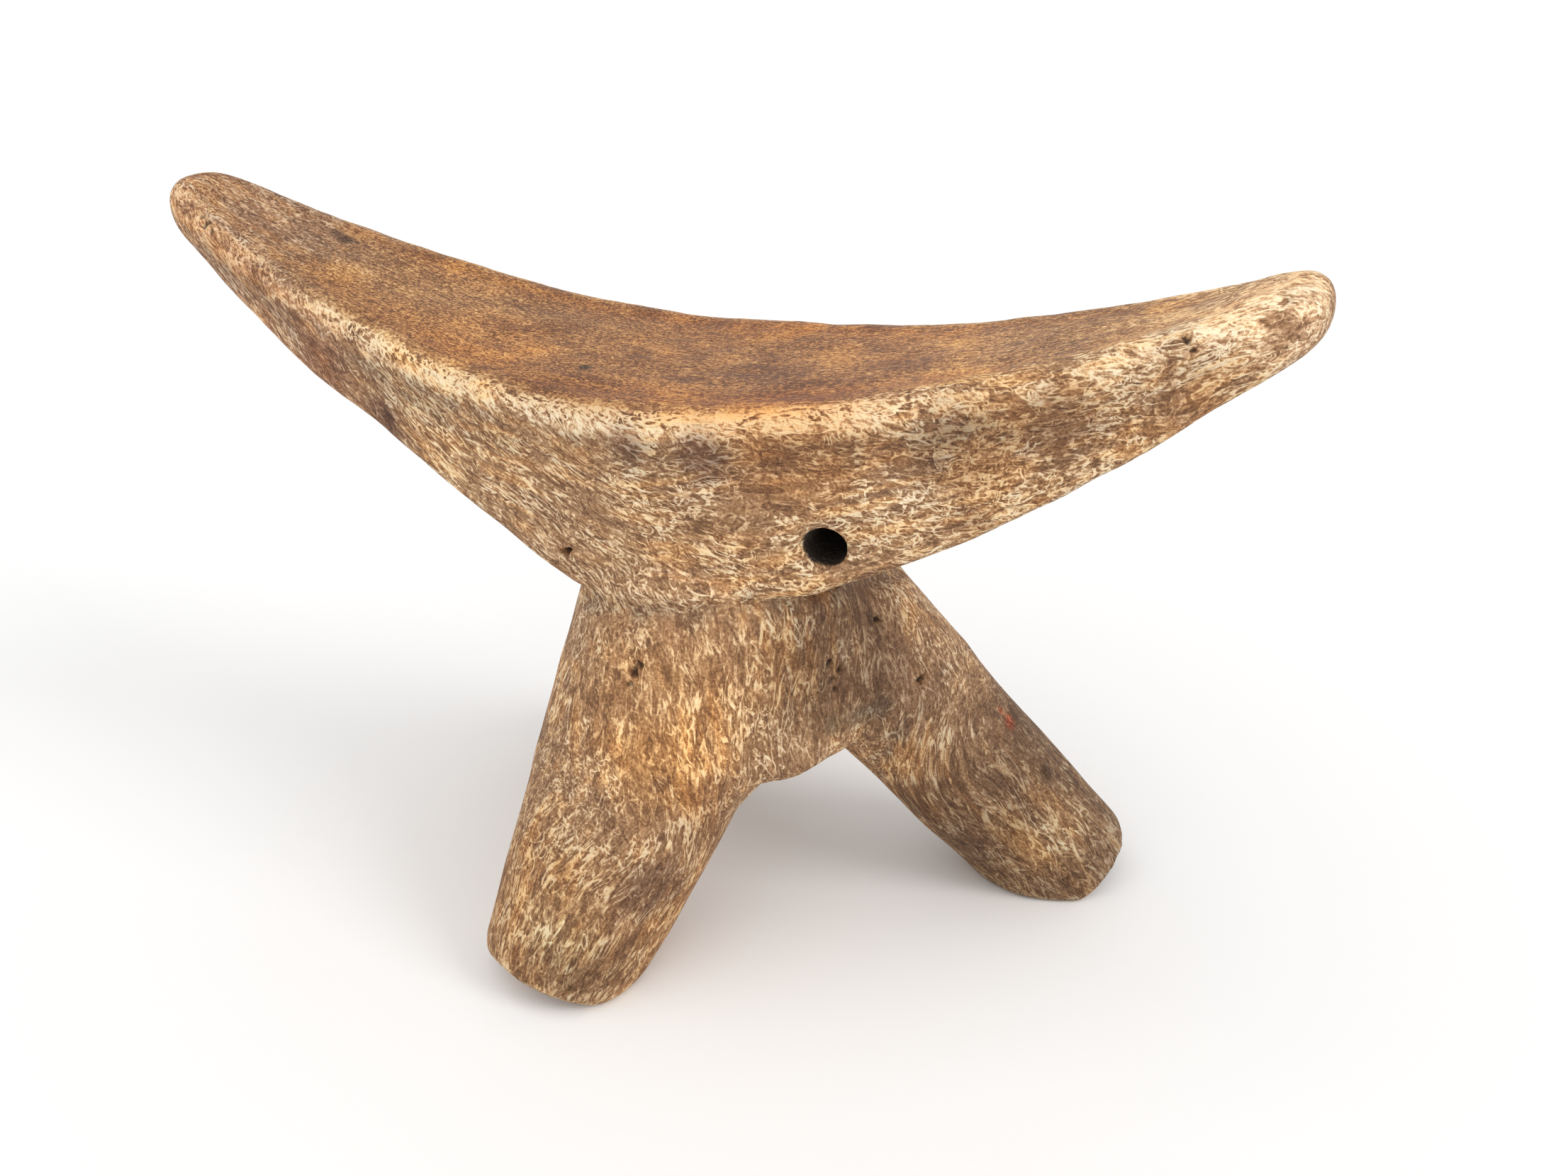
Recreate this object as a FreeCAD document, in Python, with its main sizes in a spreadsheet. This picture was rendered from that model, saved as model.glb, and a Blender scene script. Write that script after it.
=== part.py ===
# Three-legged headrest stool, carved from one forked piece of wood.
# Millimetres. Origin on the floor below the middle of the seat, X along the seat, Z up.
import FreeCAD, Part
import os
import Sketcher
from FreeCAD import Vector

doc = FreeCAD.newDocument("headrest_stool")

# Driving dimensions
DIMENSIONS = {
    # Seat: a shallow dish between two raised wings
    "seat_length": 305.0,
    "seat_low_x": -3.0,
    "seat_height": 160.6,
    "seat_width": 87.0,
    "left_tip_rise": 37.9,
    "right_tip_rise": 37.2,
    "tip_width": 26.0,
    "nose_radius": 10.6,
    "rim_bevel": 4.0,
    "keel_bevel": 2.0,
    "side_slope": 10.0,
    # Depth of the block below the seat, at its middle and at the two tips
    "keel_depth": 59.0,
    "left_tip_depth": 15.5,
    "right_tip_depth": 13.6,
    # Powers of the distance from the middle that the dish, the plan and the two keels follow
    "left_dish_power": 1.9,
    "right_dish_power": 1.82,
    "plan_power": 1.7,
    "left_keel_power": 0.56,
    "right_keel_power": 1.5,
    # Carrying thong's hole, bored from the front face to the rear face
    "thong_hole_radius": 5.0,
    "thong_hole_x": 50.5,
    "thong_hole_height": 129.5,
    # Plane between headrest and stem, square to the leaning trunk
    "neck_x": 12.0,
    "neck_height": 102.0,
    "neck_lean": 11.5,
    # Trunk where the three branches meet: it widens upwards and leans with the neck
    "trunk_foot_x": 27.0,
    "trunk_foot_y": -1.0,
    "trunk_foot_height": 56.3,
    "trunk_length": 50.0,
    "trunk_foot_radius": 27.2,
    "trunk_top_radius": 36.0,
    # Branches: where each one meets the floor and where its axis enters the headrest
    "root_height": 105.0,
    "front_foot_x": -17.3,
    "front_foot_y": -55.2,
    "front_root_x": 12.0,
    "front_root_y": -5.0,
    "front_foot_radius": 19.6,
    "front_shin_radius": 26.9,
    "front_root_radius": 35.4,
    "front_leg_length": 44.0,
    "right_foot_x": 103.0,
    "right_foot_y": 44.2,
    "right_root_x": 24.5,
    "right_root_y": 3.8,
    "right_foot_radius": 21.0,
    "right_shin_radius": 22.4,
    "right_root_radius": 25.6,
    "right_leg_length": 66.0,
    "rear_foot_x": -55.0,
    "rear_foot_y": 54.4,
    "rear_root_x": 6.0,
    "rear_root_y": 6.0,
    "rear_foot_radius": 20.5,
    "rear_shin_radius": 23.7,
    "rear_root_radius": 31.0,
    "rear_leg_length": 48.0,
    # How far a leg is carried past the floor before its foot is trimmed
    "foot_trim": 22.0,
    # Foot: level on its inner half, worn up on its outer half by this share of the leg's lean
    "wear_share": 0.95,
}

dims = doc.addObject("Spreadsheet::Sheet", "dims")
for row, (alias, value) in enumerate(DIMENSIONS.items(), start=1):
    dims.set("A%d" % row, alias)
    dims.set("B%d" % row, str(value))
    dims.setAlias("B%d" % row, alias)
doc.recompute()

# Sections of the headrest, as shares of half the seat's length from the middle
SEAT_STATIONS = (-1.0, -0.82, -0.6, -0.35, 0.0, 0.35, 0.6, 0.82, 1.0)
SLOPE = "tan(dims.side_slope * 1 deg)"
# Largest share of half a tip's width that its rounded corners may take
NOSE_LIMIT = 0.99


def attach(sketch, body, role, offset):
    """Lay a sketch on one of its body's own planes, moved along that plane's normal."""
    plane = next(item for item in body.Origin.OriginFeatures if item.Role == role)
    sketch.AttachmentSupport = [(plane, "")]
    sketch.MapMode = "FlatFace"
    sketch.setExpression("AttachmentOffset.Base.z", offset)


def seat_section(body, index, share):
    """One upright section of the headrest: flat top, sloping sides, narrower underside."""
    side = "left" if share < 0 else "right"
    away = abs(share)
    top = "(dims.seat_height + dims.{0}_tip_rise * {1} ^ dims.{0}_dish_power)".format(side, away)
    half_top = ("((dims.seat_width - (dims.seat_width - dims.tip_width)"
                " * {0} ^ dims.plan_power) / 2)").format(away)
    depth = ("(dims.keel_depth - (dims.keel_depth - dims.{0}_tip_depth)"
             " * {1} ^ dims.{0}_keel_power)").format(side, away)
    half_base = "(%s - %s * %s)" % (half_top, depth, SLOPE)
    underside = "(%s - %s)" % (top, depth)

    sketch = body.newObject("Sketcher::SketchObject", "seat_section_%d" % index)
    attach(sketch, body, "YZ_Plane",
           "dims.seat_length / 2 * %r + dims.seat_low_x * %r" % (share, 1 - away))
    corners = []
    for across, height in (("-" + half_base, underside), (half_base, underside),
                           (half_top, top), ("-" + half_top, top)):
        corners.append(Vector(dims.evalExpression(across), dims.evalExpression(height), 0))
    for start, end in zip(corners, corners[1:] + corners[:1]):
        sketch.addGeometry(Part.LineSegment(start, end))
    for line, following in ((0, 1), (1, 2), (2, 3), (3, 0)):
        sketch.addConstraint(Sketcher.Constraint("Coincident", line, 2, following, 1))
    base_line, top_line = 0, 2
    for line in (base_line, top_line):
        sketch.addConstraint(Sketcher.Constraint("Symmetric", line, 1, line, 2, -2))
    sizes = (
        ("half_base", "DistanceX", base_line, 2, half_base),
        ("half_top", "DistanceX", top_line, 1, half_top),
        ("underside", "DistanceY", base_line, 2, underside),
        ("top", "DistanceY", top_line, 1, top),
    )
    for name, kind, line, end, expression in sizes:
        start_value = dims.evalExpression(expression)
        number = sketch.addConstraint(Sketcher.Constraint(kind, -1, 1, line, end, start_value))
        sketch.renameConstraint(number, name)
        sketch.setExpression("Constraints." + name, expression)
    return sketch


def edge_names(shape, wanted):
    """Names of the shape's edges that are among the wanted ones."""
    return ["Edge%d" % number for number, edge in enumerate(shape.Edges, start=1)
            if any(edge.isSame(other) for other in wanted)]


def nose_edges(shape):
    """The four short edges between the two end faces and the side faces."""
    level = 0.01
    return [edge for edge in shape.Edges
            if edge.BoundBox.XLength < level and edge.BoundBox.ZLength > level]


def broad_face_edges(shape, upward):
    """The edges round the top, or round the underside: the only faces that look up or down."""
    middle = 0.5
    broad = []
    for face in shape.Faces:
        first_u, last_u, first_v, last_v = face.ParameterRange
        normal = face.normalAt((first_u + last_u) * middle, (first_v + last_v) * middle)
        if upward * normal.z > middle:
            broad += face.Edges
    return broad


def seat_block():
    """The dished block: a loft along the seat with round noses and every arris eased."""
    body = doc.addObject("PartDesign::Body", "seat_block")
    sections = [seat_section(body, i, share) for i, share in enumerate(SEAT_STATIONS)]
    doc.recompute()
    loft = body.newObject("PartDesign::AdditiveLoft", "seat_loft")
    loft.Profile = sections[-1]
    loft.Sections = sections[-2::-1]
    doc.recompute()
    noses = body.newObject("PartDesign::Fillet", "round_noses")
    noses.Base = (loft, edge_names(loft.Shape, nose_edges(loft.Shape)))
    deepest_tip = "max(dims.left_tip_depth; dims.right_tip_depth)"
    half_tip = "(dims.tip_width / 2 - %s * %s)" % (deepest_tip, SLOPE)
    noses.setExpression("Radius", "min(dims.nose_radius; %s * %r)" % (half_tip, NOSE_LIMIT))
    eased = noses
    for name, upward in (("rim", 1), ("keel", -1)):
        doc.recompute()
        bevel = body.newObject("PartDesign::Chamfer", name + "_arris")
        bevel.Base = (eased, edge_names(eased.Shape, broad_face_edges(eased.Shape, upward)))
        bevel.setExpression("Size", "dims.%s_bevel" % name)
        eased = bevel
    body.Tip = eased
    return body


def limb_placement(side, along="0", lean_share="1"):
    """Frame on a branch's axis, so far up from the floor, with Z leaning along the branch."""
    run_x = "dims.{0}_root_x - dims.{0}_foot_x".format(side)
    run_y = "dims.{0}_root_y - dims.{0}_foot_y".format(side)
    return ("placement(vector(dims.{0}_foot_x; dims.{0}_foot_y; 0);"
            " rotation(atan2({2}; {1}); atan2(hypot({1}; {2}); dims.root_height) * {3}; 0))"
            " * placement(vector(0; 0; {4}); rotation(0; 0; 0))"
            ).format(side, run_x, run_y, lean_share, along)


def tapered_length(name, placement, length, lower_radius, upper_radius):
    """A tapering round length of a branch."""
    cone = doc.addObject("Part::Cone", name)
    cone.setExpression("Height", length)
    cone.setExpression("Radius1", lower_radius)
    cone.setExpression("Radius2", upper_radius)
    cone.setExpression("Placement", placement)
    return cone


def half_space(name, placement, upward):
    """A box on one side of a plane, larger than the whole stool."""
    box = doc.addObject("Part::Box", name)
    for size in ("Length", "Width", "Height"):
        box.setExpression(size, "dims.seat_length * 2")
    drop = "0" if upward else "-dims.seat_length * 2"
    shift = "placement(vector(-dims.seat_length; -dims.seat_length; %s); rotation(0; 0; 0))" % drop
    box.setExpression("Placement", "%s * %s" % (placement, shift))
    return box


def boolean(kind, name, base, tool):
    result = doc.addObject(kind, name)
    result.Base = base
    result.Tool = tool
    return result


def leg(side):
    """A branch from the stem down to its foot, trimmed to the floor and worn on its outer half."""
    uncut = tapered_length(side + "_uncut_leg", limb_placement(side, "-dims.foot_trim"),
                           "dims.%s_leg_length + dims.foot_trim" % side,
                           "dims.%s_foot_radius" % side, "dims.%s_shin_radius" % side)
    standing = boolean("Part::Cut", side + "_standing_leg", uncut, floor)
    wear = half_space(side + "_wear", limb_placement(side, lean_share="dims.wear_share"), False)
    return boolean("Part::Cut", side + "_leg", standing, wear)


def stub(side):
    """The upper length of a branch, which stays on the stem."""
    whole_length = ("hypot(dims.{0}_root_x - dims.{0}_foot_x;"
                    " dims.{0}_root_y - dims.{0}_foot_y; dims.root_height)").format(side)
    return tapered_length(side + "_stub", limb_placement(side, "dims.%s_leg_length" % side),
                          "%s - dims.%s_leg_length" % (whole_length, side),
                          "dims.%s_shin_radius" % side, "dims.%s_root_radius" % side)


SIDES = ("front", "right", "rear")

floor = half_space("below_floor", "placement(vector(0; 0; 0); rotation(0; 0; 0))", False)
legs = [leg(side) for side in SIDES]

NECK_LEAN = "rotation(vector(0; 1; 0); -dims.neck_lean * 1 deg)"
trunk = tapered_length(
    "trunk",
    "placement(vector(dims.trunk_foot_x; dims.trunk_foot_y; dims.trunk_foot_height); %s)" % NECK_LEAN,
    "dims.trunk_length", "dims.trunk_foot_radius", "dims.trunk_top_radius")

# The seat block, the trunk and the stubs are one carving, parted on the neck plane
carving = doc.addObject("Part::MultiFuse", "carving")
carving.Refine = False
carving.Shapes = [seat_block(), trunk] + [stub(side) for side in SIDES]
neck_plane = "placement(vector(dims.neck_x; 0; dims.neck_height); %s)" % NECK_LEAN
above_neck = half_space("above_neck", neck_plane, True)
stem = boolean("Part::Cut", "stem", carving, above_neck)
head = boolean("Part::Common", "head", carving, above_neck)

thong_hole = doc.addObject("Part::Cylinder", "thong_hole")
thong_hole.setExpression("Radius", "dims.thong_hole_radius")
thong_hole.setExpression("Height", "dims.seat_width * 2")
thong_hole.setExpression(
    "Placement",
    "placement(vector(dims.thong_hole_x; dims.seat_width; dims.thong_hole_height);"
    " rotation(vector(1; 0; 0); 90))")
headrest = boolean("Part::Cut", "headrest", head, thong_hole)
doc.recompute()

for item in doc.Objects:
    if "Invalid" in item.State or "Error" in item.State:
        raise RuntimeError("%s failed: %s" % (item.Label, item.State))

os.makedirs("parts", exist_ok=True)
for node in [headrest, stem] + legs:
    shape = node.Shape
    if shape.isNull() or not shape.isValid() or len(shape.Solids) != 1:
        raise RuntimeError("%s is not one sound solid" % node.Label)
    shape.exportStep("parts/%s.step" % node.Label)
    print(node.Label, round(shape.Volume), "cubic millimetres")
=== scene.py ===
import math

import bmesh
import bpy
import numpy as np
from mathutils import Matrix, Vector


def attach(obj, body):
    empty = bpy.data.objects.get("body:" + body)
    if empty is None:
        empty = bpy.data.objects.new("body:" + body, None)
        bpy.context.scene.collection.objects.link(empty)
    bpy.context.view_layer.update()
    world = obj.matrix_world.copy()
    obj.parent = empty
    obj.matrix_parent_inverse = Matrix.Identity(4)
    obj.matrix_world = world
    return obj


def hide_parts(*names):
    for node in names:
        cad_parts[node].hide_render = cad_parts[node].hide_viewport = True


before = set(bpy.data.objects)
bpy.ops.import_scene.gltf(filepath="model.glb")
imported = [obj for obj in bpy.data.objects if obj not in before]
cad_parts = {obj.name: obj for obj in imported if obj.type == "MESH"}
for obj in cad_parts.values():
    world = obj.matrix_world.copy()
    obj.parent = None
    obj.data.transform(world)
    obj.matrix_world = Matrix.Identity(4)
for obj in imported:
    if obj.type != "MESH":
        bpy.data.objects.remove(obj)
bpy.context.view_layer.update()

# The fork: one length of hardwood where a trunk parts into three branches.
# It is hewn with an adze and pared with a knife, so seat, stem and legs run into each other.
# The whole skin is made here first, and parted into its members further down.
MM = 0.001
WELD = 0.001 * MM
SKIN_STEP = 0.9 * MM

rough_fork = bmesh.new()
for member in ("headrest", "stem", "front_leg", "right_leg", "rear_leg"):
    rough_fork.from_mesh(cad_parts[member].data)
bmesh.ops.remove_doubles(rough_fork, verts=rough_fork.verts, dist=WELD)
fork_mesh = bpy.data.meshes.new("rough_fork")
rough_fork.to_mesh(fork_mesh)
rough_fork.free()
fork = bpy.data.objects.new("rough_fork", fork_mesh)
bpy.context.scene.collection.objects.link(fork)

even_skin = fork.modifiers.new("even_skin", "REMESH")
even_skin.mode = "VOXEL"
even_skin.voxel_size = SKIN_STEP
even_skin.adaptivity = 0.0


def made_plain(piece):
    """The piece's mesh as its modifiers leave it, with the modifiers gone."""
    seen = bpy.context.evaluated_depsgraph_get()
    mesh = bpy.data.meshes.new_from_object(piece.evaluated_get(seen))
    piece.modifiers.clear()
    piece.data = mesh
    return mesh


# Hollows: holes that beetles and thorns have left in the wood, and the eyes of small knots.
# They are a few millimetres wide, so the skin is made finer round each of them.
# They are sunk into it further down, once the valleys and the rim are eased.
HOLLOWS = (
    # mouth in mm, radius in mm, depth in mm
    ((-17.5, -35.5, 118.5), 1.5, 3.0),
    ((6.0, -46.0, 94.0), 1.8, 1.3), ((7.0, -45.0, 96.0), 1.5, 1.3), ((5.0, -47.0, 91.0), 1.1, 1.0),
    ((48.0, -18.0, 90.5), 1.4, 1.7), ((49.5, -15.0, 87.5), 1.2, 1.4), ((49.0, -17.0, 85.5), 0.9, 1.0),
    ((46.5, -20.0, 86.0), 0.7, 0.8), ((49.0, -16.5, 82.0), 1.1, 1.2), ((51.0, -12.5, 84.0), 0.7, 0.7),
    ((55.5, -3.0, 97.5), 1.0, 1.6), ((66.5, 2.0, 79.0), 1.1, 1.6), ((98.0, 26.5, 42.0), 1.8, -0.8),
    ((125.5, -19.0, 185.0), 1.3, 1.4), ((127.0, -19.0, 183.0), 0.9, 1.0),
    ((-132.5, -17.0, 187.5), 1.5, 1.3), ((-130.0, -18.0, 186.0), 1.0, 1.0),
    ((-134.5, -16.5, 189.5), 0.9, 0.9), ((107.5, 22.5, 9.5), 1.0, 0.8), ((-4.0, -71.5, 9.5), 1.2, 0.9),
)
FINER_REACH = 1.4
FINER_MARGIN = 1.6


def from_place(points, place):
    """How far in mm each of the points is from a place that is given in mm."""
    return np.linalg.norm(points / MM - np.array(place), axis=1)


finer = bmesh.new()
finer.from_mesh(made_plain(fork))
edge_middles = np.array([(edge.verts[0].co + edge.verts[1].co) / 2 for edge in finer.edges])
close = np.zeros(len(edge_middles), bool)
for mouth, radius, _ in HOLLOWS:
    close |= from_place(edge_middles, mouth) < FINER_REACH * radius + FINER_MARGIN
finer.edges.ensure_lookup_table()
bmesh.ops.subdivide_edges(finer, edges=[finer.edges[i] for i in np.flatnonzero(close)],
                          cuts=2, use_grid_fill=True)
finer.to_mesh(fork.data)
finer.free()

# Valleys: a knife eases the hollows between seat, stem and branches, and takes off each arris.
# A few places were left fuller: the web beside the front branch, the left tip and the back rim.
NECK_VALLEY_PASSES = 14
FORK_VALLEY_PASSES = 200
FILL_PASSES = 6
ARRIS_PASSES = 6
NECK_HEIGHT = (84.0, 104.0)
FULLER_CORE = 0.2
FULLER = (
    # middle in mm, reach in mm, height in mm
    ((35.0, -26.0, 57.0), 17.0, 2.6), ((-148.0, -3.0, 195.5), 13.0, 1.3),
    ((22.0, 42.0, 161.0), 40.0, 0.5),
)

skin = fork.data
point_count = len(skin.vertices)
edge_ends = np.empty(len(skin.edges) * 2, np.int64)
skin.edges.foreach_get("vertices", edge_ends)
edge_ends = edge_ends.reshape(-1, 2)
from_point = np.concatenate([edge_ends[:, 0], edge_ends[:, 1]])
to_point = np.concatenate([edge_ends[:, 1], edge_ends[:, 0]])
neighbour_count = np.bincount(to_point, minlength=point_count).astype(float)


def rubbed(values, passes, share=1.0):
    """Values at the skin's points after so many passes of going this share of the way to the
    mean of the neighbours."""
    flat = values if values.ndim == 2 else values[:, None]
    share = share[:, None] if isinstance(share, np.ndarray) else share
    for _ in range(passes):
        means = np.stack([
            np.bincount(to_point, column[from_point], point_count) / neighbour_count
            for column in flat.T], axis=1)
        flat = flat + share * (means - flat)
    return flat if values.ndim == 2 else flat[:, 0]


def skin_points():
    """Where the skin's points are, in metres."""
    points = np.empty(point_count * 3)
    skin.vertices.foreach_get("co", points)
    return points.reshape(-1, 3)


def skin_normals():
    """Which way the skin faces at each of its points."""
    skin.update()
    normals = np.empty(point_count * 3, np.float32)
    skin.vertex_normals.foreach_get("vector", normals)
    return normals.reshape(-1, 3).astype(float)


def put_skin(points):
    """Lay the skin through these points, none of them under the ground."""
    points = points.copy()
    points[:, 2] = np.maximum(points[:, 2], 0.0)
    skin.vertices.foreach_set("co", points.astype(np.float32).ravel())
    skin.update()


def ease(span, values):
    """0 below the span and 1 above it, with a soft rise between."""
    low, high = span
    share = np.clip((values - low) / (high - low), 0.0, 1.0)
    return share * share * (3.0 - 2.0 * share)


def fade(span, values):
    """1 below the span and 0 above it, with a soft fall between."""
    return 1.0 - ease(span, values)


def moved(points, ways, heights):
    """Points moved this far in mm along their own ways."""
    return points + ways * (heights * MM)[:, None]


hewn, outward = skin_points(), skin_normals()
eased_neck = rubbed(hewn, NECK_VALLEY_PASSES)
eased_fork = rubbed(eased_neck, FORK_VALLEY_PASSES - NECK_VALLEY_PASSES)
neck_fill = np.clip(((eased_neck - hewn) * outward).sum(1) / MM, 0.0, None)
fork_fill = np.clip(((eased_fork - hewn) * outward).sum(1) / MM, 0.0, None)
below_neck = fade(NECK_HEIGHT, hewn[:, 2] / MM)
valley_fill = rubbed(neck_fill + below_neck * (fork_fill - neck_fill), FILL_PASSES)
hewn = rubbed(moved(hewn, outward, valley_fill), ARRIS_PASSES)
for middle, reach, height in FULLER:
    fuller = fade((FULLER_CORE * reach, reach), from_place(hewn, middle))
    hewn = moved(hewn, outward, fuller * height)

# Creases: knife lines that mark where seat and stem meet in front, and where the right branch
# leaves. They are cut with the point of the blade and have worn soft.
CREASE_PASSES = 3
CREASES = (
    # run of the line in mm, half its width in mm, depth in mm
    (((-16.0, -32.0, 104.5), (-9.5, -36.0, 105.5), (1.0, -40.5, 107.0), (19.0, -39.5, 109.5),
      (39.0, -30.0, 112.0), (46.5, -22.0, 112.5), (51.0, -12.0, 110.0), (55.0, 18.0, 103.0)), 5.0, 2.0),
    (((72.0, 9.5, 81.0), (65.0, -1.5, 68.0), (61.5, -2.5, 61.5), (57.5, -1.0, 53.0)), 4.0, 0.8),
)


def beside_line(points, run):
    """How far each point is from a line through the given places, all in mm."""
    nearest = np.full(len(points), np.inf)
    for start, end in zip(run[:-1], run[1:]):
        step = np.array(end) - np.array(start)
        offset = points - np.array(start)
        along = (offset @ step / (step @ step)).clip(0.0, 1.0)
        nearest = np.minimum(nearest, np.linalg.norm(offset - along[:, None] * step, axis=1))
    return nearest


crease = np.zeros(point_count)
for run, half_width, depth in CREASES:
    cut = fade((0.0, half_width), beside_line(hewn / MM, run))
    hewn = moved(hewn, outward, -cut * depth)
    crease = np.maximum(crease, cut * min(1.0, depth))
hewn = rubbed(hewn, CREASE_PASSES)

# Rim: the edge of the seat, which climbs and narrows from its low middle to both tips.
# The rim and the tips are rounded most, by many years of handling, and the feet a little.
SEAT_LOW_X = -3.0
RIM_LOW = 160.6
WINGS = (
    # length, rise of the rim and how it bends, for the left wing and the right
    (149.5, 37.9, 1.9), (155.5, 37.2, 1.82),
)
SEAT_WIDTH = 87.0
SEAT_NARROWING = 61.0
NARROWING_BEND = 1.7
NEAR_RIM = (5.0, 14.0)
NEAR_TIP = (0.84, 0.98)
NEAR_GROUND = (3.0, 14.0)
RIM_SWELL = 0.9
TIP_SWELL = 1.0
SWELL_PASSES = 4
RIM_PASSES = 42
RIM_RUB = 0.75
FOOT_RUB = 0.12
LEAST_RUB = 0.04


def seat_lines(points):
    """For each point: the share of the way to the tip, and its distances in mm below the rim and
    from it."""
    from_low = points[:, 0] / MM - SEAT_LOW_X
    length, rise, bend = (np.where(from_low < 0.0, left, right) for left, right in zip(*WINGS))
    away = (np.abs(from_low) / length).clip(0.0, 1.0)
    half_width = (SEAT_WIDTH - SEAT_NARROWING * away ** NARROWING_BEND) / 2
    below = RIM_LOW + rise * away ** bend - points[:, 2] / MM
    return away, below, np.hypot(np.abs(points[:, 1]) / MM - half_width, below)


away, _, from_rim = seat_lines(hewn)
round_rim = fade(NEAR_RIM, from_rim)
round_tip = ease(NEAR_TIP, away)
round_foot = fade(NEAR_GROUND, hewn[:, 2] / MM)
swollen = moved(hewn, rubbed(outward, SWELL_PASSES),
                RIM_SWELL * round_rim * (1.0 - round_tip) + TIP_SWELL * round_tip)
rub = np.maximum.reduce([RIM_RUB * round_rim, round_tip, FOOT_RUB * round_foot])
put_skin(rubbed(swollen, RIM_PASSES, LEAST_RUB + (1.0 - LEAST_RUB) * rub))

# Grain: it runs along the seat and up both wings, and down the middle of each branch.
# The trunk leans to the left, so the neck is square to its lean and not to the ground.
FORK_MIDDLE = np.array([20.0, -2.0, 100.0]) * MM
NECK_MIDDLE = np.array([12.0, 0.0, 102.0]) * MM
TRUNK_LEAN = math.radians(11.5)
NECK_UP = np.array([-math.sin(TRUNK_LEAN), 0.0, math.cos(TRUNK_LEAN)])
NECK_BLEND = (2.0, 9.0)
LIMBS = {
    # foot in mm, root in mm, and how far up from the foot the branch is parted, in mm
    "front_leg": ((-17.3, -55.2, 0.0), (12.0, -5.0, 105.0), 44.0),
    "right_leg": ((103.0, 44.2, 0.0), (24.5, 3.8, 105.0), 66.0),
    "rear_leg": ((-55.0, 54.4, 0.0), (6.0, 6.0, 105.0), 48.0),
}
LIMB_BLEND = (-22.0, 14.0)
LIMB_SIDE = (36.0, 46.0)
GRAIN_LOW_X = 3.0
GRAIN_LENGTH = 150.0
GRAIN_RISE = 55.0
GRAIN_BEND = 1.4


def limb_line(limb):
    """The foot of a branch, the way it grows, and the middle of the face where it is parted."""
    foot, root, parting = LIMBS[limb]
    foot, root = np.array(foot) * MM, np.array(root) * MM
    up = (root - foot) / np.linalg.norm(root - foot)
    return foot, up, foot + up * parting * MM


def beside_limb(points, foot, up):
    """How far in mm each point is from the middle line of a branch."""
    offset = points - foot
    return np.linalg.norm(offset - (offset @ up)[:, None] * up, axis=1) / MM


def down_a_branch(points, middle, up):
    """Points turned so that the branch's own direction lies along X."""
    turn = np.array(Vector((0.0, 0.0, 1.0)).rotation_difference(Vector(up)).to_matrix()).T
    turned = (points - middle) @ turn.T + middle
    return np.stack([turned[:, 2], turned[:, 1], -turned[:, 0]], axis=1)


points, outward = skin_points(), skin_normals()
across, height = points[:, 0] / MM, points[:, 2] / MM
wing_rise = GRAIN_RISE * np.abs((across - GRAIN_LOW_X) / GRAIN_LENGTH) ** GRAIN_BEND
along_seat = np.stack([points[:, 0], points[:, 1], points[:, 2] - wing_rise * MM], axis=1)
seat_share = ease(NECK_BLEND, (points - NECK_MIDDLE) @ NECK_UP / MM)

limb_share = {}
down_grain = down_a_branch(points, FORK_MIDDLE, NECK_UP)
for limb in LIMBS:
    foot, up, middle = limb_line(limb)
    share = ease(LIMB_BLEND, (middle - points) @ up / MM)
    share = share * fade(LIMB_SIDE, beside_limb(points, foot, up))
    limb_share[limb] = share
    down_grain += share[:, None] * (down_a_branch(points, middle, up) - down_grain)

# Polish and wear: heads and hands polish the dish, least at the tips and on the right rim.
# They rub the old dirt off every edge that stands proud, so the wood is pale and bare there.
DISH_SLOPE = (0.35, 0.85)
DISH_EDGE = (6.0, 12.0)
TIP_END = (0.90, 1.0)
LEFT_TIP = (-128.0, -84.0)
ROLLED_RIM = (3.0, 17.0)
ROLLED_RUN = (25.0, 70.0)
TIP_DULLING = 0.6
LEFT_POLISH = 0.45
ROLLED_DULLING = 0.55
POLISH_PASSES = 5
PROUD_PASSES = 34
RIDGE_PLACE = 2.0
RIDGE_WIDTH = 3.6
RIDGE_START = (-104.0, -76.0)
RIDGE_END = (48.0, 84.0)
RIDGE_LEAST = 0.45
RIDGE_FADING = 0.55
FOOT_PROUD = (0.42, 1.05)
FOOT_HEIGHT = 30.0
ARRIS_START = (55.0, 113.0)
ARRIS_SLOPE = 0.545
ARRIS_WIDTH = (2.0, 9.0)
ARRIS_RUN_IN = (52.0, 66.0)
ARRIS_RUN_OUT = (108.0, 126.0)
ARRIS_FACING = (0.2, 0.6)
PALE_TIP = (104.0, 132.0)
PALE_FACING = (-0.5, 0.2)
PALE_TOP = (0.1, 0.6)
PALE_LEAN = 0.5
BARE_FOOT = 0.62
BARE_ARRIS = 0.96
BARE_TIP = 0.30
BARE_PASSES = 3

facing_front, facing_up = -outward[:, 1], outward[:, 2]
away, below_rim, from_rim = seat_lines(points)
polish = ease(DISH_SLOPE, facing_up) * fade(DISH_EDGE, below_rim)
polish *= 1.0 - TIP_DULLING * ease(TIP_END, away)
polish *= LEFT_POLISH + (1.0 - LEFT_POLISH) * ease(LEFT_TIP, across)
polish *= 1.0 - ROLLED_DULLING * fade(ROLLED_RIM, from_rim) * ease(ROLLED_RUN, across)
polish = rubbed(polish, POLISH_PASSES)

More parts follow.
